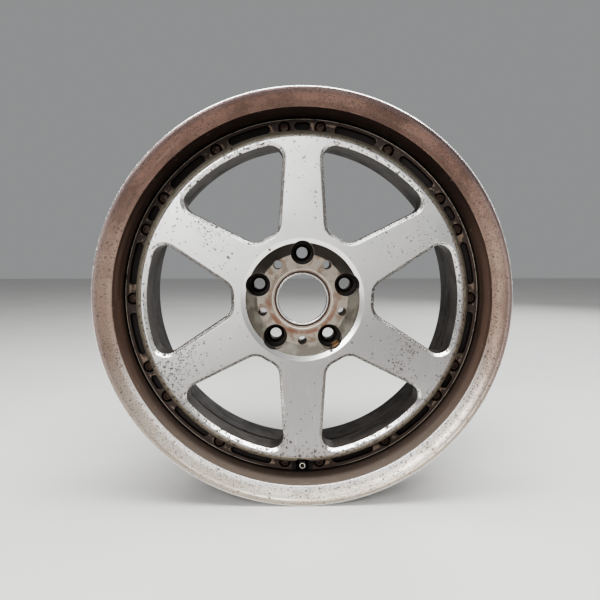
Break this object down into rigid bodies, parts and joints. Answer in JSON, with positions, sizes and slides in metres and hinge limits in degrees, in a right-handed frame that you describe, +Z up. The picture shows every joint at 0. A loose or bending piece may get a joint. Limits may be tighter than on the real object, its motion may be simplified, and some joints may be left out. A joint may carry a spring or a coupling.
{
  "type": "forged racing wheel rim",
  "caption": "Deep-lipped multi-piece road-racing wheel rim: a spoked centre disc bolted between an outer and an inner rim half, with a snap-in tyre valve.",
  "frame": {"origin": "on the wheel's axis, midway between the outer faces of the two rim flanges", "axes": "+Y along the wheel's axis towards the vehicle (inboard), so the spoke face looks along -Y; +Z up, through the spoke opposite the valve; +X to the right when facing the spoke face"},
  "size_m": [0.497, 0.241, 0.497],
  "materials": {
    "machined_face": "turned face gone satin, with dark corrosion specks and chipped edges",
    "oxidised_lip": "bare aluminium oxidised tan and pitted",
    "dark_barrel": "dark brake-dust grime over aluminium",
    "sealant": "cured grey silicone",
    "rusty_steel": "dark steel with brown rust",
    "plated_steel": "dull zinc plate",
    "ring_aluminium": "turned satin",
    "seat_steel": "dark oxidised steel with rust at the edge",
    "valve_rubber": "matt black",
    "valve_brass": "nickel-plated brass, satin",
    "core_brass": "plain brass",
    "core_gasket": "red sealing compound",
    "spring_steel": "bright drawn wire"
  },
  "bodies": {
    "wheel": {"center_disc": "machined_face", "outer_rim_half": "oxidised_lip", "inner_rim_half": "dark_barrel", "joint_sealant": "sealant", "assembly_bolts": "rusty_steel", "bolt_washers": "plated_steel", "assembly_nuts": "plated_steel", "hub_ring": "ring_aluminium", "lug_seat_1": "seat_steel", "lug_seat_2": "seat_steel", "lug_seat_3": "seat_steel", "lug_seat_4": "seat_steel", "lug_seat_5": "seat_steel", "valve_rubber": "valve_rubber", "valve_stem": "valve_brass", "core_body": "core_brass", "core_gasket": "core_gasket", "core_spring": "spring_steel"},
    "valve_pin": {"core_pin": "core_brass", "core_seal": "valve_rubber", "core_seal_cup": "core_brass"}
  },
  "joints": [
    {"name": "valve_pin_press", "type": "slide", "parent": "wheel", "child": "valve_pin", "axis": [0, 1, 0], "range_m": [0, 0.0012], "stiffness_N_per_m": 400, "springref_m": -0.002, "deforming": ["core_spring"]}
  ]
}
